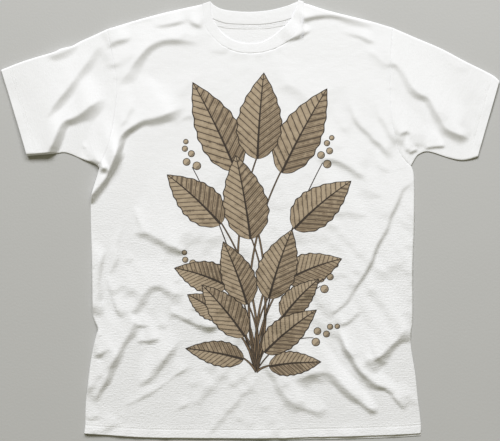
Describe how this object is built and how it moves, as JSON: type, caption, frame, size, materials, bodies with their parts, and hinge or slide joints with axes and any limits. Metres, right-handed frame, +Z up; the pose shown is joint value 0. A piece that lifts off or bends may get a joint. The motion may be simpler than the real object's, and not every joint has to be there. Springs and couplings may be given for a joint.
{
  "type": "t-shirt",
  "caption": "Short-sleeved crew-neck T-shirt laid flat, front up, with soft folds, a ribbed collar, set-in sleeves and stitched hems.",
  "frame": {"origin": "middle of the shirt's outline, on the surface that it lies on", "axes": "+X to the side of the sleeve that is on the right as seen from above, +Y towards the collar, +Z up, out of the front"},
  "size_m": [0.8706, 0.7658, 0.0109],
  "materials": {
    "jersey": "matt white cotton jersey",
    "printed_jersey": "matt white cotton jersey with a brown print on the chest and belly",
    "rib": "matt white ribbed knit",
    "tape": "matt white woven tape"
  },
  "bodies": {
    "root": {"back_panel": "jersey", "front_panel": "printed_jersey", "sleeve_left": "jersey", "sleeve_right": "jersey", "collar_rib": "rib", "neck_tape": "tape"}
  },
  "joints": []
}
